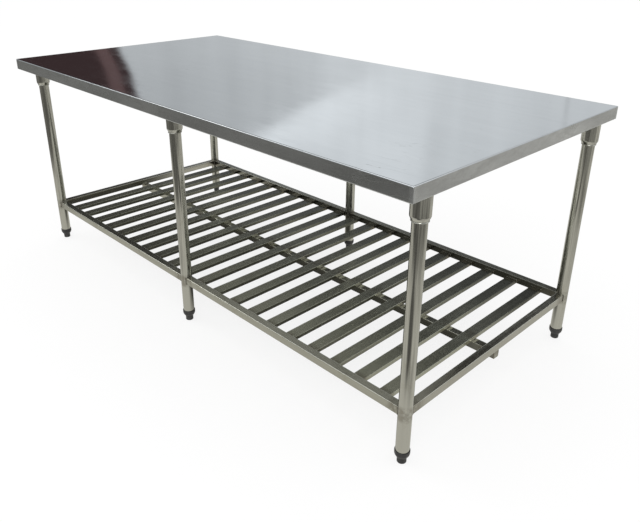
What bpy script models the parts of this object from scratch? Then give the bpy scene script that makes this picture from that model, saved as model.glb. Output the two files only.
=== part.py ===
"""Stainless-steel work table: a sheet-metal top with turned-down edges on six tubular legs,
with a welded slatted undershelf and adjustable screw-in feet.

Row frame: metres, +Z up. The origin is on the floor under the middle of the top.
+X runs along the long edge, -Y is the front, left is -X.
"""

import math

import bmesh
import bpy
from mathutils import Vector

# ---------------------------------------------------------------- overall size
LENGTH = 2.000
DEPTH = 1.000
HEIGHT = 0.800
GAP = 0.0003  # clearance left between touching pieces

# ---------------------------------------------------------------- worktop sheet
EDGE_DROP = 0.040  # height of the turned-down edge
EDGE_RETURN = 0.009  # inward lip along the bottom of the edge
SHEET = 0.0012
FOLD_RADIUS = 0.0025

# ---------------------------------------------------------------- hat stiffeners
HAT_HEIGHT = 0.028
HAT_CROWN = 0.060
HAT_FLANGE = 0.020
HAT_HALF_LENGTH = 0.990

# ---------------------------------------------------------------- legs and sockets
LEG_X = 0.964  # corner leg axes; the middle pair stands at x = 0
LEG_Y = 0.419
LEG_RADIUS = 0.019
LEG_WALL = 0.0012
LEG_BOTTOM = 0.0343
LEG_TOP = 0.7650
SOCKET_RADIUS = 0.0255
SOCKET_WALL = 0.0020
SOCKET_SHOULDER = 0.7000  # the taper down to the tube starts here
SOCKET_MOUTH = 0.6890

# ---------------------------------------------------------------- undershelf
RAIL = 0.025  # square tube of the frame
RAIL_WALL = 0.0015
RAIL_TOP = 0.175
SLAT_WIDTH = 0.038
SLAT_HEIGHT = 0.0127
SLAT_WALL = 0.0010
SLAT_COUNT = 20
CENTRE_RAIL_HALF = 0.974

# ---------------------------------------------------------------- feet
FOOT_RADIUS = 0.0130
FOOT_TOP = 0.0187
STUD_RADIUS = 0.0060
STUD_TOP = 0.0720
BORE_RADIUS = 0.0064
COLLAR_RADIUS = 0.0211

STATIONS = {
    "front_left": (-LEG_X, -LEG_Y),
    "front_middle": (0.0, -LEG_Y),
    "front_right": (LEG_X, -LEG_Y),
    "back_left": (-LEG_X, LEG_Y),
    "back_middle": (0.0, LEG_Y),
    "back_right": (LEG_X, LEG_Y),
}

for old in list(bpy.data.objects):
    bpy.data.objects.remove(old, do_unlink=True)

PARTS = bpy.data.collections.new("stainless_work_table")
CUTTERS = bpy.data.collections.new("cutters")
bpy.context.scene.collection.children.link(PARTS)
bpy.context.scene.collection.children.link(CUTTERS)


def material(name, colour, roughness, metallic):
    made = bpy.data.materials.new(name)
    made.use_nodes = True
    shader = made.node_tree.nodes["Principled BSDF"]
    shader.inputs["Base Color"].default_value = (*colour, 1.0)
    shader.inputs["Roughness"].default_value = roughness
    shader.inputs["Metallic"].default_value = metallic
    return made


TOP_STEEL = material("top_sheet_steel", (0.60, 0.62, 0.63), 0.22, 1.0)
TUBE_STEEL = material("tube_steel", (0.50, 0.50, 0.46), 0.28, 1.0)
SHELF_STEEL = material("shelf_steel", (0.34, 0.34, 0.30), 0.38, 1.0)
HAT_STEEL = material("stiffener_steel", (0.48, 0.49, 0.49), 0.42, 1.0)
FOOT_PLASTIC = material("foot_plastic", (0.030, 0.030, 0.030), 0.48, 0.0)
STUD_ZINC = material("stud_zinc", (0.62, 0.62, 0.58), 0.35, 1.0)


def add(name, mesh, finish, parent=None, location=(0, 0, 0)):
    """One named sub-part, in the parts collection."""
    obj = bpy.data.objects.new(name, mesh)
    PARTS.objects.link(obj)
    if not mesh.materials:
        mesh.materials.append(finish)
    obj.parent = parent
    obj.location = location
    return obj


def solidify(obj, thickness, offset=-1.0):
    shell = obj.modifiers.new("wall", "SOLIDIFY")
    shell.thickness = thickness
    shell.offset = offset
    shell.use_even_offset = True
    return shell


def turned_mesh(name, profile, ring=False):
    """A profile of (radius, height) points in the XZ plane, joined in order."""
    mesh = bpy.data.meshes.new(name)
    links = [(i, i + 1) for i in range(len(profile) - 1)]
    if ring:
        links.append((len(profile) - 1, 0))
    mesh.from_pydata([(r, 0.0, z) for r, z in profile], links, [])
    return mesh


def turn(obj, steps):
    """Spins the profile about Z: its outer side runs top to bottom."""
    spin = obj.modifiers.new("turn", "SCREW")
    spin.axis = "Z"
    spin.steps = spin.render_steps = steps
    spin.use_merge_vertices = True
    spin.merge_threshold = 0.00005
    spin.use_smooth_shade = True
    return obj


# ================================================================ worktop
def worktop():
    """A tray turned upside down: the sheet, four turned-down edges and their inward lips."""
    mesh = bpy.data.meshes.new("worktop")
    bm = bmesh.new()
    bmesh.ops.create_cube(bm, size=1.0)
    bmesh.ops.scale(bm, verts=bm.verts, vec=(LENGTH, DEPTH, EDGE_DROP))
    bmesh.ops.translate(bm, verts=bm.verts, vec=(0, 0, HEIGHT - EDGE_DROP / 2))
    floor = [f for f in bm.faces if f.normal.z < -0.5]
    bmesh.ops.delete(bm, geom=floor, context="FACES_ONLY")
    rim = [e for e in bm.edges if e.is_boundary]
    lip = bmesh.ops.extrude_edge_only(bm, edges=rim)["geom"]
    for vert in [g for g in lip if isinstance(g, bmesh.types.BMVert)]:
        vert.co.x -= math.copysign(EDGE_RETURN, vert.co.x)
        vert.co.y -= math.copysign(EDGE_RETURN, vert.co.y)
    bmesh.ops.recalc_face_normals(bm, faces=bm.faces)
    top = max(bm.faces, key=lambda f: f.calc_center_median().z)
    if top.normal.z < 0:
        bmesh.ops.reverse_faces(bm, faces=bm.faces)
    bm.to_mesh(mesh)
    bm.free()
    obj = add("worktop", mesh, TOP_STEEL)
    fold = obj.modifiers.new("folds", "BEVEL")
    fold.width = FOLD_RADIUS
    fold.segments = 3
    fold.limit_method = "ANGLE"
    fold.angle_limit = math.radians(40)
    solidify(obj, SHEET)
    return obj


# ================================================================ stiffeners
def stiffener(name, y):
    """A top-hat channel, crown down, whose flanges lie against the underside of the sheet."""
    half = SHEET / 2
    flange_z = HEIGHT - SHEET - GAP - half
    crown_z = flange_z - HAT_HEIGHT + SHEET
    outline = [
        (-HAT_CROWN / 2 - HAT_FLANGE, flange_z),
        (-HAT_CROWN / 2, flange_z),
        (-HAT_CROWN / 2 + 0.003, crown_z),
        (HAT_CROWN / 2 - 0.003, crown_z),
        (HAT_CROWN / 2, flange_z),
        (HAT_CROWN / 2 + HAT_FLANGE, flange_z),
    ]
    mesh = bpy.data.meshes.new(name)
    bm = bmesh.new()
    row = [bm.verts.new((-HAT_HALF_LENGTH, p, z)) for p, z in outline]
    edges = [bm.edges.new(pair) for pair in zip(row, row[1:])]
    swept = bmesh.ops.extrude_edge_only(bm, edges=edges)["geom"]
    moved = [g for g in swept if isinstance(g, bmesh.types.BMVert)]
    bmesh.ops.translate(bm, verts=moved, vec=(2 * HAT_HALF_LENGTH, 0, 0))
    bmesh.ops.recalc_face_normals(bm, faces=bm.faces)
    bm.to_mesh(mesh)
    bm.free()
    obj = add(name, mesh, HAT_STEEL, location=(0, y, 0))
    solidify(obj, SHEET, offset=0.0)
    return obj


# ================================================================ tubes
def open_tube(name, size, finish, wall, location=(0, 0, 0)):
    """A square or rectangular tube, open at both ends along its longest side."""
    mesh = bpy.data.meshes.new(name)
    bm = bmesh.new()
    bmesh.ops.create_cube(bm, size=1.0)
    bmesh.ops.scale(bm, verts=bm.verts, vec=size)
    along = max(range(3), key=lambda i: size[i])
    ends = [f for f in bm.faces if abs(f.normal[along]) > 0.5]
    bmesh.ops.delete(bm, geom=ends, context="FACES_ONLY")
    bm.to_mesh(mesh)
    bm.free()
    obj = add(name, mesh, finish, location=location)
    solidify(obj, wall)
    return obj


def leg_cutter(name, x, y):
    """The round clearance that a rail's end is coped to, where it meets a leg."""
    mesh = bpy.data.meshes.new("cope_" + name)
    bm = bmesh.new()
    bmesh.ops.create_cone(
        bm,
        cap_ends=True,
        segments=24,
        radius1=LEG_RADIUS + GAP,
        radius2=LEG_RADIUS + GAP,
        depth=4 * RAIL,
    )
    bm.to_mesh(mesh)
    bm.free()
    obj = bpy.data.objects.new("cope_" + name, mesh)
    CUTTERS.objects.link(obj)
    obj.location = (x, y, RAIL_TOP - RAIL / 2)
    obj.hide_render = True
    obj.display_type = "WIRE"
    return obj


def coped_rail(name, start, end, cutters):
    """A frame rail between two leg axes, its ends coped to the round legs."""
    start, end = Vector(start), Vector(end)
    run = end - start
    reach = run.length - 2 * 0.010
    size = (reach, RAIL, RAIL) if abs(run.x) > abs(run.y) else (RAIL, reach, RAIL)
    middle = (start + end) / 2
    obj = open_tube(
        name, size, SHELF_STEEL, RAIL_WALL, (middle.x, middle.y, RAIL_TOP - RAIL / 2)
    )
    for cutter in cutters:
        cope = obj.modifiers.new("cope", "BOOLEAN")
        cope.operation = "DIFFERENCE"
        cope.object = cutter
    return obj


worktop()
stiffener("stiffener_front", -LEG_Y)
stiffener("stiffener_back", LEG_Y)

# ================================================================ leg stations
crown = HEIGHT - SHEET - GAP - HAT_HEIGHT  # outer face of a stiffener's crown
socket_top = crown - GAP
mouth_radius = LEG_RADIUS + 0.0004
SOCKET_MESH = turned_mesh(
    "leg_socket",
    [
        (0.0, socket_top),
        (SOCKET_RADIUS, socket_top),
        (SOCKET_RADIUS, SOCKET_SHOULDER),
        (mouth_radius + 0.0012, SOCKET_MOUTH),
        (mouth_radius, SOCKET_MOUTH),
        (mouth_radius, SOCKET_MOUTH + 0.0020),
        (SOCKET_RADIUS - SOCKET_WALL, SOCKET_SHOULDER + 0.0012),
        (SOCKET_RADIUS - SOCKET_WALL, socket_top - SOCKET_WALL),
        (0.0, socket_top - SOCKET_WALL),
    ],
)
LEG_MESH = turned_mesh(
    "leg",
    [
        (LEG_RADIUS - LEG_WALL, LEG_TOP),
        (LEG_RADIUS, LEG_TOP),
        (LEG_RADIUS, LEG_BOTTOM),
        (LEG_RADIUS - LEG_WALL, LEG_BOTTOM),
    ],
    ring=True,
)
# The insert: a plug pressed up inside the tube, and a collar round the tube's end.
INSERT_MESH = turned_mesh(
    "foot_insert",
    [
        (BORE_RADIUS, 0.0750),
        (LEG_RADIUS - LEG_WALL - 0.0004, 0.0750),
        (LEG_RADIUS - LEG_WALL - 0.0004, LEG_BOTTOM - GAP),
        (LEG_RADIUS + 0.0004, LEG_BOTTOM - GAP),
        (LEG_RADIUS + 0.0004, 0.0410),
        (COLLAR_RADIUS - 0.0005, 0.0410),
        (COLLAR_RADIUS, 0.0403),
        (COLLAR_RADIUS, 0.0310),
        (0.0198, 0.0265),
        (0.0176, 0.0222),
        (0.0154, FOOT_TOP + GAP),
        (BORE_RADIUS, FOOT_TOP + GAP),
    ],
    ring=True,
)
STUD_MESH = turned_mesh(
    "foot_stud",
    [
        (0.0, STUD_TOP),
        (STUD_RADIUS - 0.0008, STUD_TOP),
        (STUD_RADIUS, STUD_TOP - 0.0008),
        (STUD_RADIUS, 0.0058),
        (0.0, 0.0058),
    ],
)
BASE_MESH = turned_mesh(
    "foot_base",
    [
        (0.0, 0.0055),
        (BORE_RADIUS, 0.0055),
        (BORE_RADIUS, FOOT_TOP),
        (FOOT_RADIUS - 0.0008, FOOT_TOP),
        (FOOT_RADIUS, FOOT_TOP - 0.0008),
        (FOOT_RADIUS, 0.0032),
        (FOOT_RADIUS - 0.0009, 0.0009),
        (FOOT_RADIUS - 0.0024, 0.0),
        (0.0, 0.0),
    ],
)

COPES = {}
for station, (x, y) in STATIONS.items():
    post = bpy.data.objects.new("station_" + station, None)
    PARTS.objects.link(post)
    post.location = (x, y, 0)
    turn(add("leg_socket_" + station, SOCKET_MESH, TUBE_STEEL, post), 24)
    turn(add("leg_" + station, LEG_MESH, TUBE_STEEL, post), 24)
    turn(add("foot_insert_" + station, INSERT_MESH, FOOT_PLASTIC, post), 24)
    turn(add("foot_stud_" + station, STUD_MESH, STUD_ZINC, post), 16)
    turn(add("foot_base_" + station, BASE_MESH, FOOT_PLASTIC, post), 24)
    COPES[station] = leg_cutter(station, x, y)

# ================================================================ undershelf
for name, first, last in (
    ("shelf_rail_front_left", "front_left", "front_middle"),
    ("shelf_rail_front_right", "front_middle", "front_right"),
    ("shelf_rail_back_left", "back_left", "back_middle"),
    ("shelf_rail_back_right", "back_middle", "back_right"),
    ("shelf_rail_end_left", "front_left", "back_left"),
    ("shelf_rail_end_right", "front_right", "back_right"),
):
    coped_rail(
        name,
        (*STATIONS[first], 0),
        (*STATIONS[last], 0),
        (COPES[first], COPES[last]),
    )

# Slats lie between the long rails, level with the bottom of the frame and evenly spaced.
clear = 2 * (LEG_X - RAIL / 2)
slat_gap = (clear - SLAT_COUNT * SLAT_WIDTH) / (SLAT_COUNT + 1)
slat_length = 2 * (LEG_Y - RAIL / 2 - GAP)
for i in range(SLAT_COUNT):
    x = -clear / 2 + slat_gap + SLAT_WIDTH / 2 + i * (SLAT_WIDTH + slat_gap)
    open_tube(
        f"shelf_slat_{i + 1:02d}",
        (SLAT_WIDTH, slat_length, SLAT_HEIGHT),
        SHELF_STEEL,
        SLAT_WALL,
        (x, 0, RAIL_TOP - RAIL + SLAT_HEIGHT / 2),
    )

# The centre rail crosses under the slats and under both end rails.
open_tube(
    "shelf_centre_rail",
    (2 * CENTRE_RAIL_HALF, RAIL, RAIL),
    SHELF_STEEL,
    RAIL_WALL,
    (0, 0, RAIL_TOP - RAIL - GAP - RAIL / 2),
)
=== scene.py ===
"""Looks for the stainless work table: smooth turned and folded sheet-metal skins, rounded tube
sections, weld beads, fluted feet with rolled threads, brushed and weld-tinted steel."""

import math
import random

import bmesh
import bpy
from mathutils import Matrix, Vector

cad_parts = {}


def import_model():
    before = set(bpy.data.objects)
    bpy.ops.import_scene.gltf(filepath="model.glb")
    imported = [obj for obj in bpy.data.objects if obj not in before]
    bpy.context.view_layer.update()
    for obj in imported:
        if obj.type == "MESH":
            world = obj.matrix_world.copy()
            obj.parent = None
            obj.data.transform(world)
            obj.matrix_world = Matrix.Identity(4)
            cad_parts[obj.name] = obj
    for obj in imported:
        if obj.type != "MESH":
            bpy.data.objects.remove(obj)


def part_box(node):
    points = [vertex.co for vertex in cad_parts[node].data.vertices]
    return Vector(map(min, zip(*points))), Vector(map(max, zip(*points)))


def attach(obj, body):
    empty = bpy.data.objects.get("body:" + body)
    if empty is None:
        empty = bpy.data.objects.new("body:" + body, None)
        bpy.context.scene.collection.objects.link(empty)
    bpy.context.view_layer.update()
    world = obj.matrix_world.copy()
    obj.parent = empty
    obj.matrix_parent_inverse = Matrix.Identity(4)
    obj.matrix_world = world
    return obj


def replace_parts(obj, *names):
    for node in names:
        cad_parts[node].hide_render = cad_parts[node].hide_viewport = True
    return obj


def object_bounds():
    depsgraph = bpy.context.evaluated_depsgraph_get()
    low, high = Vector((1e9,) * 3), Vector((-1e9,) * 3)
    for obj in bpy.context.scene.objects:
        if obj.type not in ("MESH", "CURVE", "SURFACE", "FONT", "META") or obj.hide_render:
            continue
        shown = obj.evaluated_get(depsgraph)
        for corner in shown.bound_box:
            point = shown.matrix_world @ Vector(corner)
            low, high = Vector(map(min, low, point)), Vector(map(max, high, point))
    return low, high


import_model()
CAD_BOX = [[float(v) for v in corner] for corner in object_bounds()]

STATIONS = (
    "front_left",
    "front_middle",
    "front_right",
    "back_left",
    "back_middle",
    "back_right",
)


def centre(node):
    low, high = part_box(node)
    return (low + high) / 2


AXIS = {s: centre("leg_" + s) for s in STATIONS}
LEG_R = 0.0190
DICE = random.Random(7)


# ------------------------------------------------------------------ node helpers
class Net:
    """Short-hand for building a node tree out of sockets."""

    def __init__(self, tree):
        self.tree = tree

    def node(self, kind, **settings):
        made = self.tree.nodes.new(kind)
        for key, value in settings.items():
            setattr(made, key, value)
        return made

    def put(self, socket, value):
        if isinstance(value, bpy.types.NodeSocket):
            self.tree.links.new(value, socket)
        elif hasattr(socket, "default_value"):
            if isinstance(value, (tuple, list)) and len(value) == 3:
                if len(socket.default_value) == 4:
                    value = (*value, 1.0)
            socket.default_value = value

    def math(self, operation, a, b=0.0, c=0.0, clamp=False):
        made = self.node("ShaderNodeMath", operation=operation, use_clamp=clamp)
        for socket, value in zip(made.inputs, (a, b, c)):
            self.put(socket, value)
        return made.outputs[0]

    def add(self, a, b):
        return self.math("ADD", a, b)

    def sub(self, a, b):
        return self.math("SUBTRACT", a, b)

    def mul(self, a, b):
        return self.math("MULTIPLY", a, b)

    def step(self, value, low, high, to_low=0.0, to_high=1.0):
        """A smooth step from to_low to to_high as value goes from low to high."""
        made = self.node("ShaderNodeMapRange", interpolation_type="SMOOTHSTEP")
        self.put(made.inputs["Value"], value)
        made.inputs["From Min"].default_value = low
        made.inputs["From Max"].default_value = high
        made.inputs["To Min"].default_value = to_low
        made.inputs["To Max"].default_value = to_high
        return made.outputs["Result"]

    def span(self, value, low, high, to_low, to_high):
        made = self.node("ShaderNodeMapRange", interpolation_type="LINEAR")
        self.put(made.inputs["Value"], value)
        made.inputs["From Min"].default_value = low
        made.inputs["From Max"].default_value = high
        made.inputs["To Min"].default_value = to_low
        made.inputs["To Max"].default_value = to_high
        return made.outputs["Result"]

    def ramp(self, value, stops, smooth=True):
        made = self.node("ShaderNodeValToRGB")
        ramp = made.color_ramp
        ramp.interpolation = "B_SPLINE" if smooth else "LINEAR"
        while len(ramp.elements) < len(stops):
            ramp.elements.new(0.5)
        for element, (place, colour) in zip(ramp.elements, stops):
            element.position = place
            if not isinstance(colour, tuple):
                colour = (colour, colour, colour)
            element.color = (*colour, 1.0)
        self.put(made.inputs[0], value)
        return made.outputs["Color"]

    def mix(self, factor, a, b, blend="MIX"):
        made = self.node("ShaderNodeMix", data_type="RGBA", blend_type=blend)
        self.put(made.inputs[0], factor)
        self.put(made.inputs[6], a)
        self.put(made.inputs[7], b)
        return made.outputs[2]

    def noise(self, vector, scale, detail=3.0, rough=0.5, stretch=(1, 1, 1)):
        mapping = self.node("ShaderNodeMapping")
        self.put(mapping.inputs["Vector"], vector)
        mapping.inputs["Scale"].default_value = stretch
        made = self.node("ShaderNodeTexNoise")
        self.put(made.inputs["Vector"], mapping.outputs[0])
        made.inputs["Scale"].default_value = scale
        made.inputs["Detail"].default_value = detail
        made.inputs["Roughness"].default_value = rough
        return made.outputs["Fac"]

    def split(self, vector):
        made = self.node("ShaderNodeSeparateXYZ")
        self.put(made.inputs[0], vector)
        return made.outputs

    def place(self):
        return self.node("ShaderNodeTexCoord").outputs["Object"]

    def bump(self, height, strength, distance, normal=None):
        made = self.node("ShaderNodeBump")
        made.inputs["Strength"].default_value = strength
        made.inputs["Distance"].default_value = distance
        self.put(made.inputs["Height"], height)
        if normal is not None:
            self.put(made.inputs["Normal"], normal)
        return made.outputs[0]


def blank(name):
    material = bpy.data.materials.new(name)
    material.use_nodes = True
    net = Net(material.node_tree)
    shader = material.node_tree.nodes["Principled BSDF"]
    return material, net, shader


def near(net, value, places, reach, fade):
    """1 within reach of any of the places along one coordinate, fading out over fade."""
    best = None
    for spot in places:
        away = net.math("ABSOLUTE", net.sub(value, spot))
        here = net.step(away, reach, reach + fade, 1.0, 0.0)
        best = here if best is None else net.math("MAXIMUM", best, here)
    return best


GRAIN = {"x": (0.012, 1, 1), "y": (1, 0.012, 1), "z": (1, 1, 0.012)}


def steel(name, tone, rough, along, grain=1.0, blotch=1.0, stain=1.0):
    """Ground or rolled stainless: lengthwise grain in colour, gloss and relief, with faint handling marks."""
    material, net, shader = blank(name)
    at = net.place()
    stretch = GRAIN[along]
    fine = net.noise(at, 900.0, 2.0, 0.6, stretch)
    streak = net.noise(at, 110.0, 3.0, 0.65, stretch)
    cloud = net.noise(at, 5.5, 4.0, 0.6)
    smear = net.noise(at, 21.0, 5.0, 0.68, (1.0, 1.7, 0.8))
    value = net.add(
        net.mul(net.sub(streak, 0.5), 0.42 * grain),
        net.add(
            net.mul(net.sub(fine, 0.5), 0.20 * grain),
            net.mul(net.sub(cloud, 0.5), 0.30 * blotch),
        ),
    )
    light = tuple(min(1.0, c * 1.22) for c in tone)
    dark = tuple(c * 0.74 for c in tone)
    colour = net.mix(net.math("ADD", 0.5, value, clamp=True), dark, light)
    # dull handling marks, warmer and darker than the metal round them
    marks = net.step(smear, 0.56, 0.72, 0.0, 0.30 * stain)
    colour = net.mix(marks, colour, tuple(c * k for c, k in zip(tone, (0.70, 0.66, 0.58))))
    net.put(shader.inputs["Base Color"], colour)
    gloss = net.add(
        rough,
        net.add(
            net.mul(net.sub(streak, 0.5), 0.16 * grain),
            net.add(
                net.mul(net.sub(smear, 0.45), 0.16 * blotch),
                net.mul(net.sub(fine, 0.5), 0.10 * grain),
            ),
        ),
    )
    net.put(shader.inputs["Roughness"], net.math("MAXIMUM", gloss, 0.06))
    shader.inputs["Metallic"].default_value = 1.0
    relief = net.add(net.mul(fine, 0.6), net.mul(streak, 0.4))
    net.put(shader.inputs["Normal"], net.bump(relief, 0.055 * grain, 0.0005))
    return material, net, shader, at, colour


def tinted(net, shader, colour, mask, strength=0.8, hot=(0.150, 0.130, 0.098)):
    """Heat tint and brushed-off scale where a mask says that a weld is near."""
    at = net.place()
    ragged = net.noise(at, 60.0, 4.0, 0.65)
    amount = net.mul(
        net.math("MULTIPLY", mask, net.step(ragged, 0.30, 0.62), clamp=True), strength
    )
    burnt = net.mix(net.step(ragged, 0.45, 0.7), hot, tuple(c * 1.7 for c in hot))
    net.put(shader.inputs["Base Color"], net.mix(amount, colour, burnt))


# ------------------------------------------------------------------ mesh helpers
def finish_mesh(name, bm, material, body="table", smooth=True, sharp=35.0):
    bmesh.ops.recalc_face_normals(bm, faces=bm.faces)
    mesh = bpy.data.meshes.new(name)
    bm.to_mesh(mesh)
    bm.free()
    mesh.materials.append(material)
    if smooth:
        mesh.shade_smooth()
        mesh.set_sharp_from_angle(angle=math.radians(sharp))
    obj = bpy.data.objects.new(name, mesh)
    bpy.context.scene.collection.objects.link(obj)
    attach(obj, body)
    return obj


def lathe(bm, profile, axis, segments, ring=True, wobble=None):
    """Turns (radius, height) points about a vertical axis. wobble(angle, i) scales the radius."""
    rows = []
    for i, (radius, z) in enumerate(profile):
        if radius < 1e-7:
            rows.append([bm.verts.new((axis.x, axis.y, z))])
            continue
        row = []
        for k in range(segments):
            a = 2 * math.pi * k / segments
            r = radius * (wobble(a, i) if wobble else 1.0)
            row.append(bm.verts.new((axis.x + r * math.cos(a), axis.y + r * math.sin(a), z)))
        rows.append(row)
    pairs = list(zip(rows, rows[1:]))
    if ring:
        pairs.append((rows[-1], rows[0]))
    for a, b in pairs:
        for k in range(segments):
            j = (k + 1) % segments
            if len(a) == 1 and len(b) == 1:
                continue
            if len(a) == 1:
                bm.faces.new((a[0], b[k], b[j]))
            elif len(b) == 1:
                bm.faces.new((a[k], b[0], a[j]))
            else:
                bm.faces.new((a[k], b[k], b[j], a[j]))
    return rows


def fillet(points, radius, steps=4, closed=False):
    """Rounds the corners of a 2-D path."""
    out = []
    n = len(points)
    for i, point in enumerate(points):
        if not closed and i in (0, n - 1):
            out.append(point)
            continue
        p = Vector(point)
        a, b = Vector(points[i - 1]) - p, Vector(points[(i + 1) % n]) - p
        reach = min(radius, 0.42 * a.length, 0.42 * b.length)
        start, end = p + a.normalized() * reach, p + b.normalized() * reach
        # a holding point on each side keeps the flats' shading flat
        hold = 0.12 * reach
        if a.length > 3 * reach:
            q = start + a.normalized() * hold
            out.append((q.x, q.y))
        for k in range(steps + 1):
            t = k / steps
            q = start * (1 - t) ** 2 + p * 2 * t * (1 - t) + end * t**2
            out.append((q.x, q.y))
        if b.length > 3 * reach:
            q = end + b.normalized() * hold
            out.append((q.x, q.y))
    return out


def rounded_section(width, height, radius, steps=3):
    points = []
    for cx, cy, a0 in (
        (width / 2 - radius, height / 2 - radius, 0),
        (-width / 2 + radius, height / 2 - radius, 90),
        (-width / 2 + radius, -height / 2 + radius, 180),
        (width / 2 - radius, -height / 2 + radius, 270),
    ):
        a, hold = math.radians(a0), radius * 0.15
        points.append(
            (
                cx + radius * math.cos(a) + hold * math.sin(a),
                cy + radius * math.sin(a) - hold * math.cos(a),
            )
        )
        for k in range(steps + 1):
            a = math.radians(a0 + 90 * k / steps)
            points.append((cx + radius * math.cos(a), cy + radius * math.sin(a)))
        points.append(
            (
                cx + radius * math.cos(a) - hold * math.sin(a),
                cy + radius * math.sin(a) + hold * math.cos(a),
            )
        )
    return points


def box_tube(bm, start, end, width, height, wall, radius, cope=(None, None), cuts=1):
    """A welded tube of rounded section, open inside. cope gives a leg axis that an end is notched round."""
    start, end = Vector(start), Vector(end)
    along = (end - start).normalized()
    side = Vector((-along.y, along.x, 0))
    up = Vector((0, 0, 1))
    outer = rounded_section(width, height, radius)
    inner = rounded_section(width - 2 * wall, height - 2 * wall, max(radius - wall, 0.0004))

    def spot(origin, u, w, axis, sign):
        p = origin + side * u + up * w
        if axis is not None:
            lateral = (Vector((axis.x, axis.y, 0)) - Vector((p.x, p.y, 0))).dot(side)
            reach = math.sqrt(max((LEG_R + 0.0002) ** 2 - lateral**2, 0))
            middle = Vector((axis.x, axis.y, 0)).dot(along)
            p += along * (middle + sign * reach - p.dot(along))
        return p

    loops = []
    for k in range(cuts + 1):
        t = k / cuts
        origin = start.lerp(end, t)
        axis, sign = None, 0
        if k == 0 and cope[0] is not None:
            axis, sign = cope[0], 1
        if k == cuts and cope[1] is not None:
            axis, sign = cope[1], -1
        loops.append(
            (
                [bm.verts.new(spot(origin, u, w, axis, sign)) for u, w in outer],
                [bm.verts.new(spot(origin, u, w, axis, sign)) for u, w in inner],
            )
        )
    n = len(outer)
    for (ao, ai), (bo, bi) in zip(loops, loops[1:]):
        for k in range(n):
            j = (k + 1) % n
            bm.faces.new((ao[k], ao[j], bo[j], bo[k]))
            bm.faces.new((ai[k], bi[k], bi[j], ai[j]))
    for o, i in (loops[0], loops[-1]):
        for k in range(n):
            j = (k + 1) % n
            bm.faces.new((o[k], i[k], i[j], o[j]))


def bead(bm, path, radius, closed=False, sides=7, pitch=0.0022):
    """A weld bead: a ripple-crested cord laid along a path."""
    points = [Vector(p) for p in path]
    n = len(points)
    length = 0.0
    phase = DICE.uniform(0, 6.28)
    rings = []
    for i, p in enumerate(points):
        if closed:
            tangent = points[(i + 1) % n] - points[i - 1]
        else:
            tangent = points[min(i + 1, n - 1)] - points[max(i - 1, 0)]
        tangent.normalize()
        if i:
            length += (p - points[i - 1]).length
        r = radius * (
            1.0 + 0.16 * math.sin(2 * math.pi * length / pitch + phase) + DICE.uniform(-0.08, 0.08)
        )
        if not closed and i in (0, n - 1):
            r *= 0.45
        helper = Vector((0, 0, 1)) if abs(tangent.z) < 0.9 else Vector((1, 0, 0))
        a = tangent.cross(helper).normalized()
        b = tangent.cross(a).normalized()
        rings.append(
            [
                bm.verts.new(p + (a * math.cos(t) + b * math.sin(t)) * r)
                for t in (2 * math.pi * k / sides for k in range(sides))
            ]
        )
    pairs = list(zip(rings, rings[1:]))
    if closed:
        pairs.append((rings[-1], rings[0]))
    for a, b in pairs:
        for k in range(sides):
            j = (k + 1) % sides
            bm.faces.new((a[k], a[j], b[j], b[k]))
    if not closed:
        bm.faces.new(rings[0])
        bm.faces.new(list(reversed(rings[-1])))


def along_path(corners, step=0.0009):
    """Even points on a polyline."""
    out = []
    for a, b in zip(corners, corners[1:]):
        a, b = Vector(a), Vector(b)
        count = max(1, int((b - a).length / step))
        out += [a.lerp(b, k / count) for k in range(count)]
    out.append(Vector(corners[-1]))
    return out


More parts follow.
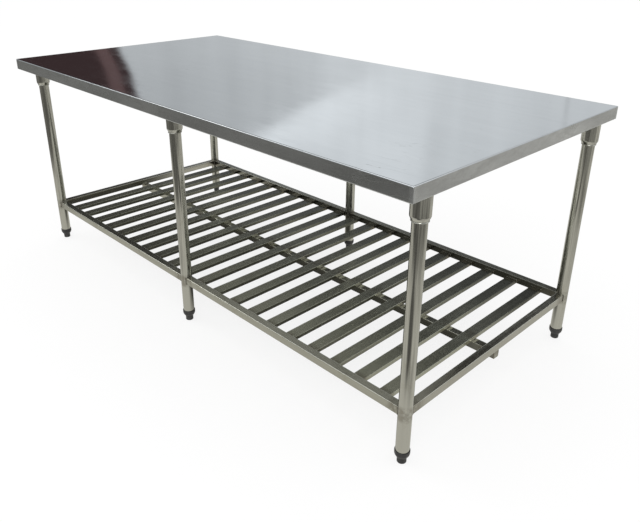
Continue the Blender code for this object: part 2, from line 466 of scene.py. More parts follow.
# ------------------------------------------------------------------ materials
def top_material():
    """Polished sheet: near-mirror, with a faint lengthwise grain, wipe marks and hairline scratches."""
    material, net, shader = blank("top_polished_sheet")
    at = net.place()
    grain = net.noise(at, 420.0, 2.0, 0.6, (0.01, 1, 1))
    streak = net.noise(at, 46.0, 4.0, 0.62, (0.035, 1, 1))
    wipe = net.noise(at, 3.2, 5.0, 0.62, (1.0, 2.2, 1.0))
    smear = net.noise(at, 13.0, 6.0, 0.7, (0.7, 1.6, 1.0))
    scratch_field = net.noise(at, 30.0, 2.0, 0.5, (0.16, 1.0, 1.0))
    scratch = net.step(net.math("ABSOLUTE", net.sub(scratch_field, 0.52)), 0.0, 0.006, 1.0, 0.0)
    where = net.step(net.noise(at, 2.1, 2.0, 0.5), 0.54, 0.66)
    scratch = net.mul(scratch, where)
    shade = net.add(
        net.mul(net.sub(streak, 0.5), 0.36),
        net.add(net.mul(net.sub(wipe, 0.5), 0.46), net.mul(net.sub(grain, 0.5), 0.30)),
    )
    tone = net.mix(
        net.math("ADD", 0.5, shade, clamp=True), (0.545, 0.563, 0.575), (0.715, 0.728, 0.737)
    )
    tone = net.mix(net.mul(scratch, 0.38), tone, (0.34, 0.34, 0.34))
    # dried drips and fingerprints, small and scattered
    cells = net.node("ShaderNodeTexVoronoi", feature="F1")
    net.put(cells.inputs["Vector"], at)
    cells.inputs["Scale"].default_value = 34.0
    speck = net.step(cells.outputs["Distance"], 0.05, 0.16, 1.0, 0.0)
    speck = net.mul(speck, net.step(net.noise(at, 4.3, 3.0, 0.6), 0.56, 0.66))
    tone = net.mix(net.mul(speck, 0.30), tone, (0.36, 0.36, 0.355))
    # the folded edge strips are duller than the face, and the corners are ground flush
    x, y, z = net.split(at)
    edge = net.step(z, 0.7975, 0.7990, 1.0, 0.0)
    cx = net.step(net.math("ABSOLUTE", x), 0.985, 0.996)
    cy = net.step(net.math("ABSOLUTE", y), 0.485, 0.496)
    corner = net.mul(net.mul(cx, cy), edge)
    mottle = net.noise(at, 26.0, 4.0, 0.62, (0.5, 0.5, 1.4))
    tone = net.mix(
        net.mul(net.step(mottle, 0.40, 0.66), net.mul(edge, 0.40)), tone, (0.42, 0.425, 0.42)
    )
    net.put(shader.inputs["Base Color"], tone)
    rough = net.add(
        0.066,
        net.add(
            net.add(net.mul(net.sub(smear, 0.5), 0.15), net.mul(speck, 0.08)),
            net.add(net.mul(net.sub(streak, 0.5), 0.07), net.mul(scratch, 0.14)),
        ),
    )
    rough = net.add(rough, net.mul(edge, net.span(mottle, 0.3, 0.7, 0.10, 0.20)))
    rough = net.add(rough, net.mul(corner, 0.10))
    # the sheet's underside keeps its duller mill finish
    facing = net.split(net.node("ShaderNodeTexCoord").outputs["Normal"])[2]
    beneath = net.step(facing, -0.7, -0.3, 1.0, 0.0)
    rough = net.add(rough, net.mul(beneath, 0.17))
    net.put(shader.inputs["Roughness"], net.math("MAXIMUM", rough, 0.05))
    shader.inputs["Metallic"].default_value = 1.0
    # the sheet isn't perfectly flat: long shallow waves, then the grain
    wave = net.noise(at, 1.7, 1.0, 0.4)
    swell = net.bump(wave, 0.30, 0.008)
    net.put(
        shader.inputs["Normal"],
        net.bump(net.add(net.mul(grain, 0.5), streak), 0.05, 0.0005, swell),
    )
    return material


TOP = top_material()

LEG_STEEL, net, shader, at, colour = steel(
    "leg_ground_tube", (0.585, 0.580, 0.525), 0.120, "z", 0.9, 0.7, 0.8
)
_x, _y, _z = net.split(at)
# the rails are welded on between 150 and 175 mm up
tinted(net, shader, colour, near(net, _z, (0.1625,), 0.013, 0.016), 0.55)

SOCKET_STEEL, net, shader, at, colour = steel(
    "socket_pressed_steel", (0.585, 0.580, 0.530), 0.110, "z", 0.6, 0.8, 0.9
)

RAIL_X_STEEL, net, shader, at, colour = steel(
    "rail_ground_tube_long", (0.500, 0.495, 0.430), 0.17, "x", 1.2, 1.1, 1.0
)
_x, _y, _z = net.split(at)
# painted shade: the long rails' colour darkens towards the back of the shelf
colour = net.mix(net.step(_y, 0.05, 0.40, 0.0, 0.60), colour, (0.17, 0.168, 0.142))
tinted(net, shader, colour, near(net, _x, (-0.964, 0.0, 0.964), 0.030, 0.030), 0.65)

RAIL_Y_STEEL, net, shader, at, colour = steel(
    "rail_ground_tube_end", (0.500, 0.490, 0.430), 0.17, "y", 1.2, 1.1, 1.0
)
_x, _y, _z = net.split(at)
tinted(
    net,
    shader,
    colour,
    near(net, net.math("ABSOLUTE", _y), (0.419,), 0.036, 0.035),
    0.60,
)

SLAT_STEEL, net, shader, at, colour = steel(
    "slat_ground_tube", (0.455, 0.457, 0.375), 0.245, "y", 0.5, 0.8, 0.6
)
_x, _y, _z = net.split(at)
# painted shade: the slats' colour darkens towards the back of the shelf
colour = net.mix(
    net.step(_y, -0.10, 0.36, 0.0, 0.86), colour, (0.062, 0.063, 0.050), "MIX"
)
ends = near(net, net.math("ABSOLUTE", _y), (0.4065,), 0.006, 0.030)
middle = near(net, _y, (0.0,), 0.013, 0.016)
tinted(net, shader, colour, net.math("MAXIMUM", ends, net.mul(middle, 0.6)), 0.80)

HAT_STEEL, net, shader, at, colour = steel(
    "stiffener_mill_steel", (0.47, 0.48, 0.48), 0.40, "x", 0.8, 1.2, 1.0
)


def weld_material():
    material, net, shader = blank("weld_bead")
    at = net.place()
    ripple = net.noise(at, 420.0, 2.0, 0.5)
    patch = net.noise(at, 48.0, 3.0, 0.6)
    tone = net.mix(net.step(patch, 0.38, 0.62), (0.15, 0.140, 0.115), (0.33, 0.32, 0.275))
    tone = net.mix(net.step(ripple, 0.55, 0.75, 0.0, 0.5), tone, (0.10, 0.09, 0.10))
    net.put(shader.inputs["Base Color"], tone)
    net.put(shader.inputs["Roughness"], net.span(patch, 0.3, 0.7, 0.34, 0.55))
    shader.inputs["Metallic"].default_value = 1.0
    net.put(shader.inputs["Normal"], net.bump(ripple, 0.35, 0.0006))
    return material


WELD = weld_material()


def plastic_material():
    """Black moulded nylon, scuffed grey where the spanner and the floor have rubbed it."""
    material, net, shader = blank("foot_black_nylon")
    at = net.place()
    pebble = net.noise(at, 1500.0, 2.0, 0.55)
    scuff = net.noise(at, 160.0, 5.0, 0.7, (1, 1, 0.5))
    _, _, z = net.split(at)
    low = net.step(z, 0.0, 0.012, 1.0, 0.35)
    worn = net.mul(net.step(scuff, 0.50, 0.70), low)
    tone = net.mix(net.mul(worn, 0.55), (0.018, 0.018, 0.019), (0.085, 0.082, 0.078))
    dust = net.noise(at, 45.0, 3.0, 0.6)
    tone = net.mix(net.step(dust, 0.45, 0.75, 0.0, 0.18), tone, (0.16, 0.15, 0.13))
    net.put(shader.inputs["Base Color"], tone)
    net.put(
        shader.inputs["Roughness"],
        net.add(0.40, net.add(net.mul(worn, 0.28), net.mul(net.sub(pebble, 0.5), 0.12))),
    )
    shader.inputs["Metallic"].default_value = 0.0
    shader.inputs["Specular IOR Level"].default_value = 0.5
    net.put(shader.inputs["Normal"], net.bump(pebble, 0.25, 0.0003))
    return material


NYLON = plastic_material()


def zinc_material():
    material, net, shader = blank("stud_zinc_plate")
    at = net.place()
    spangle = net.noise(at, 260.0, 3.0, 0.6)
    cloud = net.noise(at, 60.0, 3.0, 0.6)
    net.put(
        shader.inputs["Base Color"],
        net.mix(net.step(spangle, 0.35, 0.65), (0.52, 0.52, 0.46), (0.74, 0.73, 0.66)),
    )
    net.put(shader.inputs["Roughness"], net.span(cloud, 0.3, 0.7, 0.24, 0.42))
    shader.inputs["Metallic"].default_value = 1.0
    net.put(shader.inputs["Normal"], net.bump(spangle, 0.12, 0.0003))
    return material


ZINC = zinc_material()

# ------------------------------------------------------------------ worktop
low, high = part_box("worktop")
SHEET, DROP, RETURN, FOLD = 0.0012, 0.040, 0.009, 0.0030


def top_section():
    """Half of the tray's section as (inset from the outer face, height), from the lip's edge over to the top."""
    return fillet(
        [
            (RETURN, high.z - DROP),
            (0.0, high.z - DROP),
            (0.0, high.z),
            (0.080, high.z),
        ],
        FOLD,
        5,
    )


def tray():
    bm = bmesh.new()
    section = top_section()

    def ring(inset, z):
        """A rectangle at this inset, its corner folded tight, with points along each side."""
        hx, hy = high.x - inset, high.y - inset
        r = max(0.0022 - inset * 0.35, 0.0004)
        pts = []
        for cx, cy, a0 in ((1, -1, -90), (1, 1, 0), (-1, 1, 90), (-1, -1, 180)):
            a = math.radians(a0)
            ox, oy = cx * (hx - r), cy * (hy - r)
            pts.append(
                (
                    ox + r * math.cos(a) + 0.0006 * math.sin(a),
                    oy + r * math.sin(a) - 0.0006 * math.cos(a),
                )
            )
            for k in range(5):
                a = math.radians(a0 + 90 * k / 4)
                pts.append((ox + r * math.cos(a), oy + r * math.sin(a)))
            pts.append(
                (
                    ox + r * math.cos(a) - 0.0006 * math.sin(a),
                    oy + r * math.sin(a) + 0.0006 * math.cos(a),
                )
            )
        return [bm.verts.new((x, y, z)) for x, y in pts]

    rows = [ring(i, z) for i, z in section]
    n = len(rows[0])
    for a, b in zip(rows, rows[1:]):
        for k in range(n):
            bm.faces.new((a[k], a[(k + 1) % n], b[(k + 1) % n], b[k]))
    bm.faces.new(rows[-1])
    obj = finish_mesh("worktop_skin", bm, TOP, sharp=50)
    flip = [p for p in obj.data.polygons if p.normal.z > 0.9 and p.area > 1]
    if not flip:
        obj.data.flip_normals()
    wall = obj.modifiers.new("sheet", "SOLIDIFY")
    wall.thickness = SHEET
    wall.offset = -1.0
    wall.use_even_offset = True
    return obj


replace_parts(tray(), "worktop")

# ------------------------------------------------------------------ stiffeners
for side in ("front", "back"):
    node = "stiffener_" + side
    lo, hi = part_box(node)
    y = (lo.y + hi.y) / 2
    half_t = SHEET / 2
    flange, crown = hi.z - half_t, lo.z + half_t
    outline = fillet(
        [
            (-0.050, flange),
            (-0.030, flange),
            (-0.027, crown),
            (0.027, crown),
            (0.030, flange),
            (0.050, flange),
        ],
        0.0030,
        4,
    )
    bm = bmesh.new()
    stations = [lo.x, lo.x * 0.5, 0.0, hi.x * 0.5, hi.x]
    rows = [[bm.verts.new((x, y + p, z)) for p, z in outline] for x in stations]
    for a, b in zip(rows, rows[1:]):
        for k in range(len(outline) - 1):
            bm.faces.new((a[k], a[k + 1], b[k + 1], b[k]))
    hat = finish_mesh("stiffener_channel_" + side, bm, HAT_STEEL, sharp=50)
    wall = hat.modifiers.new("sheet", "SOLIDIFY")
    wall.thickness = SHEET
    wall.offset = 0.0
    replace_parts(hat, node)

# ------------------------------------------------------------------ legs, sockets, feet
def thread(bm, axis, top, bottom, major, minor, pitch, segments=28):
    """A right-hand helical thread whose flanks close on each other, with a chamfered top."""
    rise = 4
    total = int((top - bottom) / pitch * rise)
    rows = []
    for i in range(total + 1):
        z0 = bottom + (top - bottom) * i / total
        row = []
        for k in range(segments):
            a = 2 * math.pi * k / segments
            turn = ((z0 - bottom) / pitch - k / segments) % 1.0
            depth = abs(turn * 2 - 1)
            r = minor + (major - minor) * min(1.0, max(0.0, depth * 1.25 - 0.1))
            edge = min(top - z0, 0.0016) / 0.0016
            r = min(r, minor * 0.96 + (major - minor * 0.96) * edge)
            row.append(bm.verts.new((axis.x + r * math.cos(a), axis.y + r * math.sin(a), z0)))
        rows.append(row)
    for a, b in zip(rows, rows[1:]):
        for k in range(segments):
            j = (k + 1) % segments
            bm.faces.new((a[k], a[j], b[j], b[k]))
    bm.faces.new(rows[-1])
    bm.faces.new(list(reversed(rows[0])))


for s in STATIONS:
    axis = AXIS[s]
    lo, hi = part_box("leg_" + s)
    bm = bmesh.new()
    r, w = LEG_R, 0.0012
    heights = [hi.z - (hi.z - lo.z) * k / 6 for k in range(7)]
    outer = [(r - 0.0002, hi.z), (r, hi.z - 0.0003), (r, hi.z - 0.0008)]
    outer += [(r, z) for z in heights[1:-1]]
    outer += [(r, lo.z + 0.0008), (r, lo.z + 0.0003), (r - 0.0002, lo.z)]
    lathe(bm, outer + [(r - w, lo.z), (r - w, hi.z)], axis, 64)
    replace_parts(finish_mesh("leg_tube_" + s, bm, LEG_STEEL, sharp=40), "leg_" + s)

    lo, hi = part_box("leg_socket_" + s)
    R = hi.x - axis.x
    bm = bmesh.new()
    shell = fillet(
        [
            (0.0, hi.z),
            (R, hi.z),
            (R - 0.0002, lo.z + 0.0128),
            (0.02095, lo.z + 0.0034),
            (0.02030, lo.z + 0.0030),
        ],
        0.0022,
        4,
    )
    # the mouth is rolled into a small bead that hugs the tube
    for k in range(9):
        a = math.radians(80 - 200 * k / 8)
        shell.append((0.0204 + 0.00155 * math.cos(a), lo.z + 0.0016 + 0.0015 * math.sin(a)))
    shell += [
        (0.0194, lo.z + 0.0004),
        (0.0194, lo.z + 0.0030),
        (R - 0.0020, lo.z + 0.0125),
        (R - 0.0020, hi.z - 0.0020),
        (0.0, hi.z - 0.0020),
    ]
    lathe(bm, shell, axis, 64, ring=False)
    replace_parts(finish_mesh("socket_cup_" + s, bm, SOCKET_STEEL, sharp=38), "leg_socket_" + s)

    lo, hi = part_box("foot_insert_" + s)
    bm = bmesh.new()
    collar = fillet(
        [
            (0.0064, hi.z),
            (0.0174, hi.z),
            (0.0174, 0.0340),
            (0.0193, 0.0340),
            (0.0194, 0.0409),
            (0.0208, 0.0410),
            (0.0211, 0.0398),
            (0.0211, 0.0312),
            (0.0200, 0.0268),
            (0.0176, 0.0224),
            (0.0158, 0.0200),
            (0.0154, lo.z),
            (0.0064, lo.z),
        ],
        0.0010,
        3,
    )

    def ribs(a, i):
        return 1.0

    lathe(bm, collar, axis, 56, ring=True, wobble=ribs)
    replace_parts(finish_mesh("foot_collar_" + s, bm, NYLON, sharp=30), "foot_insert_" + s)

    lo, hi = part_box("foot_stud_" + s)
    bm = bmesh.new()
    thread(bm, axis, hi.z, lo.z, 0.0060, 0.00505, 0.00175)
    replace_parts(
            finish_mesh("stud_thread_" + s, bm, ZINC, "stud_" + s, sharp=80), "foot_stud_" + s
        )

    lo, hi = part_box("foot_base_" + s)
    bm = bmesh.new()
    base = fillet(
        [
            (0.0, 0.0056),
            (0.0064, 0.0056),
            (0.0064, hi.z),
            (0.0120, hi.z),
            (0.0130, hi.z - 0.0012),
            (0.0130, 0.0058),
            (0.0124, 0.0050),
            (0.0130, 0.0042),
            (0.0130, 0.0018),
            (0.0112, 0.0),
            (0.0, 0.0),
        ],
        0.0008,
        3,
    )
    fluted = [i for i, (rr, z) in enumerate(base) if 0.0060 < z < hi.z - 0.0012 and rr > 0.0125]

    def flutes(a, i, fluted=frozenset(fluted)):
        return 1.0

    # a plain band of grip flutes between the two rims
    body = []
    for i, point in enumerate(base):
        body.append(point)
        if i + 1 < len(base):
            nxt = base[i + 1]
            if point[0] > 0.0128 and nxt[0] > 0.0128 and point[1] - nxt[1] > 0.006:
                for k in range(1, 6):
                    t = k / 6
                    body.append(
                        (
                            point[0] + (nxt[0] - point[0]) * t,
                            point[1] + (nxt[1] - point[1]) * t,
                        )
                    )

    def grip(a, i, body=body, top=hi.z):
        rr, z = body[i]
        if rr < 0.0125 or not 0.0062 < z < top - 0.0016:
            return 1.0
        return 1.0 - 0.055 * max(0.0, math.cos(9 * a)) ** 0.7

    lathe(bm, body, axis, 108, ring=False, wobble=grip)
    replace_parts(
            finish_mesh("foot_pad_" + s, bm, NYLON, "foot_" + s, sharp=30), "foot_base_" + s
        )

# ------------------------------------------------------------------ shelf frame
for node, first, last in (
    ("shelf_rail_front_left", "front_left", "front_middle"),
    ("shelf_rail_front_right", "front_middle", "front_right"),
    ("shelf_rail_back_left", "back_left", "back_middle"),
    ("shelf_rail_back_right", "back_middle", "back_right"),
    ("shelf_rail_end_left", "front_left", "back_left"),
    ("shelf_rail_end_right", "front_right", "back_right"),
):
    lo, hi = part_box(node)
    z = (lo.z + hi.z) / 2
    a, b = AXIS[first], AXIS[last]
    bm = bmesh.new()
    along_x = abs(b.x - a.x) > 0.1
    box_tube(
        bm,
        (a.x, a.y, z),
        (b.x, b.y, z),
        0.025,
        hi.z - lo.z,
        0.0015,
        0.0018,
        (a, b),
        3,
    )
    obj = finish_mesh(node + "_tube", bm, RAIL_X_STEEL if along_x else RAIL_Y_STEEL, sharp=40)
    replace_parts(obj, node)

lo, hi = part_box("shelf_centre_rail")
bm = bmesh.new()
zc = (lo.z + hi.z) / 2
box_tube(bm, (lo.x, 0, zc), (hi.x, 0, zc), 0.025, hi.z - lo.z, 0.0015, 0.0018, cuts=3)
for end, way in ((lo.x, 1), (hi.x, -1)):
    # a welded plate closes each end, a little inside the tube
    outline = rounded_section(0.0222, hi.z - lo.z - 0.0028, 0.0012)
    faces = []
    for depth in (0.0005, 0.0020):
        faces.append([bm.verts.new((end + way * depth, u, zc + w)) for u, w in outline])
    bm.faces.new(faces[0])
    bm.faces.new(list(reversed(faces[1])))
    for k in range(len(outline)):
        j = (k + 1) % len(outline)
        bm.faces.new((faces[0][k], faces[1][k], faces[1][j], faces[0][j]))
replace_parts(finish_mesh("shelf_centre_rail_tube", bm, RAIL_X_STEEL, sharp=40), "shelf_centre_rail")

SLATS = [f"shelf_slat_{i:02d}" for i in range(1, 21)]
for node in SLATS:
    lo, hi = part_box(node)
    x, z = (lo.x + hi.x) / 2, (lo.z + hi.z) / 2
    bm = bmesh.new()
    box_tube(bm, (x, lo.y, z), (x, hi.y, z), hi.x - lo.x, hi.z - lo.z, 0.0010, 0.0013, cuts=3)
    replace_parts(finish_mesh(node + "_tube", bm, SLAT_STEEL, sharp=40), node)

# ------------------------------------------------------------------ welds
bm = bmesh.new()
rail_lo, rail_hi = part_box("shelf_rail_front_left")
zb, zt = rail_lo.z, rail_hi.z
JOINTS = [
    (s, d)
    for s in STATIONS
    for d in (
        (1, 0) if not s.endswith("right") else None,
        (-1, 0) if not s.endswith("left") else None,
        None if s.endswith("middle") else ((0, 1) if s.startswith("front") else (0, -1)),
    )
    if d
]
for s, (dx, dy) in JOINTS:
    axis = AXIS[s]
    section = rounded_section(0.0256, zt - zb + 0.0006, 0.0028, 5)
    path = []
    n = len(section)
    for k in range(n):
        (u0, w0), (u1, w1) = section[k], section[(k + 1) % n]
        count = max(1, int(math.hypot(u1 - u0, w1 - w0) / 0.0011))
        for j in range(count):
            t = j / count
            u, w = u0 + (u1 - u0) * t, w0 + (w1 - w0) * t
            reach = math.sqrt(LEG_R**2 - u * u) + 0.0004
            path.append(
                (
                    axis.x + dx * reach - dy * u,
                    axis.y + dy * reach + dx * u,
                    (zb + zt) / 2 + w,
                )
            )
    bead(bm, path, 0.00140, closed=True)
finish_mesh("welds_rails_to_legs", bm, WELD, sharp=60)

bm = bmesh.new()
inner = AXIS["front_left"].y + 0.0125
for node in SLATS:
    lo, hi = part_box(node)
    for sign in (-1, 1):
        y = sign * (abs(inner) - 0.0001)
        o = 0.0002
        if DICE.random() < 0.85:
            path = [
                (lo.x - o, y, lo.z + 0.003),
                (lo.x - o, y, hi.z - 0.001),
                (lo.x + 0.0012, y, hi.z + o),
                (hi.x - 0.0012, y, hi.z + o),
                (hi.x + o, y, hi.z - 0.001),
                (hi.x + o, y, lo.z + 0.003),
            ]
            bead(bm, along_path(path, 0.0013), 0.00105, sides=6)
finish_mesh("welds_slat_ends", bm, WELD, sharp=60)

bm = bmesh.new()
clo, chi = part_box("shelf_centre_rail")
for node in SLATS:
    lo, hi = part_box(node)
    for x in (lo.x - 0.0003, hi.x + 0.0003):
        y0, y1 = -0.0095 + DICE.uniform(-0.001, 0.001), 0.0095 + DICE.uniform(-0.001, 0.001)
        bead(bm, along_path([(x, y0, chi.z + 0.0006), (x, y1, chi.z + 0.0006)], 0.0013), 0.0013, sides=6)
for s, sign in (("left", -1), ("right", 1)):
    lo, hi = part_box("shelf_rail_end_" + s)
    x = lo.x - 0.0004 if sign > 0 else hi.x + 0.0004
    bead(bm, along_path([(x, -0.010, chi.z + 0.0006), (x, 0.010, chi.z + 0.0006)], 0.0013), 0.0013, sides=6)
finish_mesh("welds_centre_rail", bm, WELD, sharp=60)

bm = bmesh.new()
for s in STATIONS:
    axis = AXIS[s]
    lo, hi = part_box("leg_socket_" + s)
    R = hi.x - axis.x
    for part in range(4):
        a0 = math.radians(20 + 90 * part + DICE.uniform(-8, 8))
        pts = []
        for k in range(22):
            a = a0 + math.radians(50) * k / 21
            pts.append((axis.x + (R - 0.0006) * math.cos(a), axis.y + (R - 0.0006) * math.sin(a), hi.z - 0.0004))
        bead(bm, pts, 0.0013, sides=6)
finish_mesh("welds_sockets_to_stiffeners", bm, WELD, sharp=60)

# ------------------------------------------------------------------ stage
def floor_material():
    """A plain pale floor. What mirrors show of it is a separate glowing pattern: painted reflection, with
    painted shadows and a painted pool of light round the table.
    """
    material = bpy.data.materials.new("studio_floor")
    material.use_nodes = True
    tree = material.node_tree
    tree.nodes.clear()
    net = Net(tree)
    out = net.node("ShaderNodeOutputMaterial")
    at = net.place()
    x, y, _ = net.split(at)
    ax = net.sub(net.math("ABSOLUTE", x), 1.0)
    ay = net.sub(net.math("ABSOLUTE", y), 0.5)
    dx, dy = net.math("MAXIMUM", ax, 0.0), net.math("MAXIMUM", ay, 0.0)
    away = net.math("SQRT", net.add(net.mul(dx, dx), net.mul(dy, dy)))
    rim = net.math("MAXIMUM", ax, ay)
    # far off: dull to the south, paler to the west and north-east, and broken up into pools
    east = net.step(x, 1.4, 2.2)
    north = net.step(y, 0.5, 1.3)
    far = net.add(0.13, net.mul(east, net.add(0.12, net.mul(net.step(y, 0.2, 1.2), 0.22))))
    far = net.add(far, net.mul(net.mul(north, net.sub(1.0, east)), 0.36))
    far = net.add(far, net.mul(net.step(x, -1.9, -0.8, 0.07, 0.0), net.sub(1.0, north)))
    pools = net.noise(at, 1.9, 1.5, 0.5)
    far = net.mul(far, net.span(pools, 0.32, 0.68, 0.45, 1.55))
    streaks = net.noise(at, 2.6, 1.0, 0.5)
    close = net.span(streaks, 0.30, 0.70, 0.38, 0.66)
    tone = net.mix(net.step(away, 0.82, 1.18), close, far)
    # painted shadow: a dark patch beside the near corner, about where a photographer stands, seen only in
    # reflections
    px, py = net.sub(x, 1.22), net.mul(net.add(y, 1.12), 0.62)
    patch = net.math("SQRT", net.add(net.mul(px, px), net.mul(py, py)))
    tone = net.mix(net.step(patch, 0.19, 0.42, 0.86, 0.0), tone, (0.045, 0.045, 0.045))
    # painted shadow under the table, seen only in reflections
    under = net.mul(net.step(ax, -0.30, -0.02, 1.0, 0.0), net.step(ay, -0.30, -0.02, 1.0, 0.0))
    tone = net.mix(under, tone, (0.055, 0.055, 0.051))
    # painted pool of light: a bright margin round the table, seen only in reflections
    ring = net.mul(net.step(rim, -0.12, -0.03), net.step(rim, 0.13, 0.34, 1.0, 0.0))
    tone = net.mix(ring, tone, (0.60, 0.60, 0.60))
    tone = net.mix(1.0, tone, (1.0, 0.985, 0.915), "MULTIPLY")
    seen_in_metal = net.node("ShaderNodeEmission")
    net.put(seen_in_metal.inputs["Color"], tone)
    seen_in_metal.inputs["Strength"].default_value = 1.0
    plain = net.node("ShaderNodeBsdfDiffuse")
    plain.inputs["Color"].default_value = (0.93, 0.93, 0.93, 1)
    lift = net.node("ShaderNodeEmission")
    lift.inputs["Color"].default_value = (1.0, 1.0, 1.0, 1)
    lift.inputs["Strength"].default_value = 1.02
    pale = net.node("ShaderNodeMixShader")
    pale.inputs[0].default_value = 0.80
    tree.links.new(plain.outputs[0], pale.inputs[1])
    tree.links.new(lift.outputs[0], pale.inputs[2])
    path = net.node("ShaderNodeLightPath")
    both = net.node("ShaderNodeMixShader")
    tree.links.new(path.outputs["Is Glossy Ray"], both.inputs[0])
    tree.links.new(pale.outputs[0], both.inputs[1])
    tree.links.new(seen_in_metal.outputs[0], both.inputs[2])
    # seen from beneath, it's clear, so that the underside of the object shows
    clear = net.node("ShaderNodeBsdfTransparent")
    sided = net.node("ShaderNodeMixShader")
    net.put(sided.inputs[0], net.node("ShaderNodeNewGeometry").outputs["Backfacing"])
    tree.links.new(both.outputs[0], sided.inputs[1])
    tree.links.new(clear.outputs[0], sided.inputs[2])
    tree.links.new(sided.outputs[0], out.inputs["Surface"])
    return material


bm = bmesh.new()
bmesh.ops.create_circle(bm, cap_ends=True, segments=96, radius=40.0)
floor_mesh = bpy.data.meshes.new("floor")
bm.to_mesh(floor_mesh)
bm.free()
floor_mesh.materials.append(floor_material())
floor = bpy.data.objects.new("floor", floor_mesh)
floor.location = (0, 0, CAD_BOX[0][2] - 0.0004)
bpy.context.scene.collection.objects.link(floor)


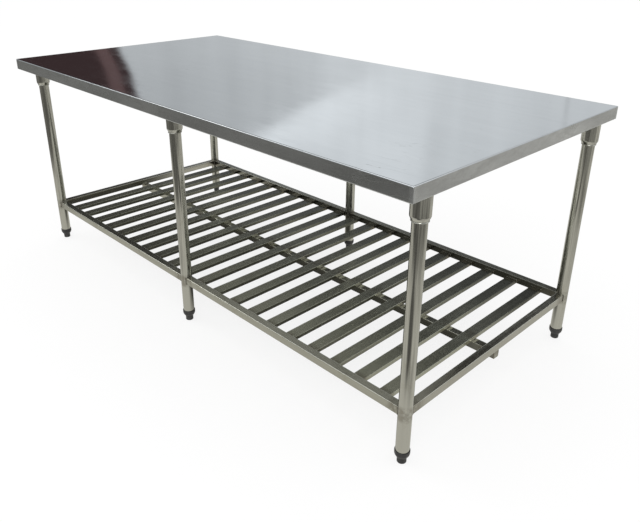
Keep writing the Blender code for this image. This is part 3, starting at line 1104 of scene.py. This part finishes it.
def world():
    """A light tent: pale walls with a maroon door, a dim band above them and a bright ceiling."""
    made = bpy.data.worlds.new("studio")
    bpy.context.scene.world = made
    made.use_nodes = True
    tree = made.node_tree
    tree.nodes.clear()
    net = Net(tree)
    out = net.node("ShaderNodeOutputWorld")
    way = net.node("ShaderNodeTexCoord").outputs["Generated"]
    x, y, z = net.split(way)
    flat = net.math("SQRT", net.add(net.mul(x, x), net.mul(y, y)))
    lift = net.mul(net.math("ARCTAN2", z, flat), 180 / math.pi)
    # bearing measured from 170 degrees, so that the seam lies behind the camera
    c, s = math.cos(math.radians(170)), math.sin(math.radians(170))
    u = net.add(net.mul(x, c), net.mul(y, s))
    v = net.sub(net.mul(y, c), net.mul(x, s))
    bearing = net.add(net.mul(net.math("ARCTAN2", v, u), 180 / math.pi), 170.0)
    def spot(degrees):
        return (degrees + 10) / 360

    walls = net.ramp(
        net.span(bearing, -10.0, 350.0, 0.0, 1.0),
        [
            (0.0, 0.52),
            (spot(40), 0.60),
            (spot(98), 0.645),
            (spot(124), 0.745),
            (spot(131), 0.765),
            (spot(139), 0.655),
            (spot(147), 0.545),
            (spot(200), 0.52),
            (spot(270), 0.60),
            (1.0, 0.52),
        ],
        smooth=False,
    )
    # a wash of light on the wall: bright along a slanting edge, fading off to a straight one
    inside = net.sub(net.add(net.mul(lift, 1.76), 111.5), bearing)
    edge = net.mul(net.step(inside, -1.1, 0.7), net.step(bearing, 124.6, 126.4))
    fading = net.add(net.step(inside, 0.0, 9.0, 1.0, 0.30), 0.0)
    rising = net.span(lift, 10.5, 16.5, 0.02, 0.42)
    wash = net.mul(net.mul(edge, net.math("MAXIMUM", rising, 0.06)), fading)
    walls = net.mix(1.0, walls, net.mul(wash, 1.0), "ADD")
    soft_cloud = net.noise(way, 3.2, 2.0, 0.5)
    walls = net.mix(1.0, walls, net.span(soft_cloud, 0.3, 0.7, 0.95, 1.05), "MULTIPLY")
    upright = net.node("ShaderNodeCombineXYZ")
    net.put(upright.inputs[0], net.mul(bearing, 0.30))
    net.put(upright.inputs[1], net.mul(lift, 0.035))
    boards = net.noise(upright.outputs[0], 1.0, 3.0, 0.55)
    walls = net.mix(1.0, walls, net.span(boards, 0.3, 0.7, 0.935, 1.045), "MULTIPLY")
    seam = net.step(net.math("ABSOLUTE", net.sub(bearing, 114.2)), 0.05, 0.30, 0.86, 1.0)
    walls = net.mix(1.0, walls, seam, "MULTIPLY")
    walls = net.mix(1.0, walls, (0.955, 1.0, 1.035), "MULTIPLY")
    side = net.add(bearing, net.mul(lift, 0.3))
    door = net.mul(net.step(side, 154.0, 154.6), net.step(bearing, 163.5, 166.5, 1.0, 0.0))
    door = net.mul(door, net.step(lift, 14.0, 16.5, 1.0, 0.0))
    jamb = net.mul(net.step(side, 155.0, 155.3), net.step(side, 156.0, 156.4, 1.0, 0.0))
    red = net.mix(net.mul(jamb, 0.55), (0.047, 0.030, 0.031), (0.20, 0.13, 0.13))
    walls = net.mix(door, walls, red)
    # above the walls on the far side the room is dark, and the shelf mirrors that
    top_edge = net.ramp(
        net.span(bearing, 90.0, 180.0, 0.0, 1.0),
        [
            (0.0, 0.60),
            (22 / 90, 0.60),
            (34 / 90, 0.575),
            (48 / 90, 0.50),
            (55 / 90, 0.43),
            (70 / 90, 0.375),
            (1.0, 0.35),
        ],
        smooth=False,
    )
    over = net.sub(lift, net.mul(top_edge, 40.0))
    dim = net.mul(net.step(over, -1.0, 1.5), net.step(lift, 37.0, 45.0, 1.0, 0.0))
    dim = net.mul(dim, net.mul(net.step(bearing, 94.0, 108.0), net.step(bearing, 168.0, 180.0, 1.0, 0.0)))
    tone = net.mix(dim, walls, (0.046, 0.046, 0.042))
    # the near side: a wide bright panel high up, which the folded edges catch
    panel = net.mul(net.step(lift, 30.0, 40.0), net.step(lift, 66.0, 78.0, 1.0, 0.0))
    panel = net.mul(panel, net.mul(net.step(bearing, 184.0, 205.0), net.step(bearing, 325.0, 342.0, 1.0, 0.0)))
    tone = net.mix(panel, tone, (2.05, 2.08, 2.12))
    # and a lesser one to the east
    wing = net.mul(net.step(lift, 24.0, 33.0), net.step(lift, 50.0, 62.0, 1.0, 0.0))
    wing = net.mul(wing, net.mul(net.step(bearing, 20.0, 36.0), net.step(bearing, 86.0, 99.0, 1.0, 0.0)))
    tone = net.mix(wing, tone, (1.35, 1.37, 1.39))
    ceiling = net.mul(net.step(lift, 44.0, 60.0), net.sub(1.0, panel))
    tone = net.mix(ceiling, tone, (0.62, 0.64, 0.66))
    seen = net.node("ShaderNodeBackground")
    net.put(seen.inputs["Color"], tone)
    seen.inputs["Strength"].default_value = 1.0
    soft = net.node("ShaderNodeBackground")
    soft.inputs["Color"].default_value = (1.0, 1.0, 1.0, 1)
    soft.inputs["Strength"].default_value = 1.0
    path = net.node("ShaderNodeLightPath")
    both = net.node("ShaderNodeMixShader")
    tree.links.new(path.outputs["Is Glossy Ray"], both.inputs[0])
    tree.links.new(soft.outputs[0], both.inputs[1])
    tree.links.new(seen.outputs[0], both.inputs[2])
    tree.links.new(both.outputs[0], out.inputs["Surface"])


world()


def area(name, place, aim, size, power, colour=(1, 1, 1)):
    data = bpy.data.lights.new(name, "AREA")
    data.shape = "RECTANGLE"
    data.size, data.size_y = size
    data.energy = power
    data.color = colour
    obj = bpy.data.objects.new(name, data)
    bpy.context.scene.collection.objects.link(obj)
    obj.location = place
    obj.rotation_euler = (Vector(aim) - Vector(place)).to_track_quat("-Z", "Y").to_euler()
    return obj


area("key_softbox", (3.6, -4.2, 4.4), (0, 0, 0.5), (2.2, 1.6), 70)
area("fill_softbox", (-4.6, -2.6, 3.6), (0, 0, 0.4), (2.6, 1.8), 34)

# ------------------------------------------------------------------ camera
YAW, PITCH, ROLL = 0.79353, 0.40792, 0.00685
FOCAL, CX, CY = 658.07, 313.10, 217.455
cy, sy = math.cos(YAW), math.sin(YAW)
cp, sp = math.cos(PITCH), math.sin(PITCH)
cr, sr = math.cos(ROLL), math.sin(ROLL)
forward = Vector((-sy * cp, cy * cp, -sp))
right0 = Vector((cy, sy, 0))
up0 = right0.cross(forward)
right = right0 * cr + up0 * sr
up = right0 * -sr + up0 * cr
lens = bpy.data.cameras.new("camera")
lens.sensor_width = 36.0
lens.lens = FOCAL / 640 * 36.0
lens.shift_x = (320 - CX) / 640
lens.shift_y = (CY - 261) / 640
lens.clip_end = 200
eye = bpy.data.objects.new("camera", lens)
bpy.context.scene.collection.objects.link(eye)
turn = Matrix((right, up, -forward)).transposed()
eye.matrix_world = Matrix.Translation((1.7492, -1.52329, 1.27163)) @ turn.to_4x4()
bpy.context.scene.camera = eye

scene = bpy.context.scene
scene.view_settings.view_transform = "Standard"
scene.view_settings.look = "None"
scene.view_settings.exposure = 0.0

bpy.context.view_layer.update()
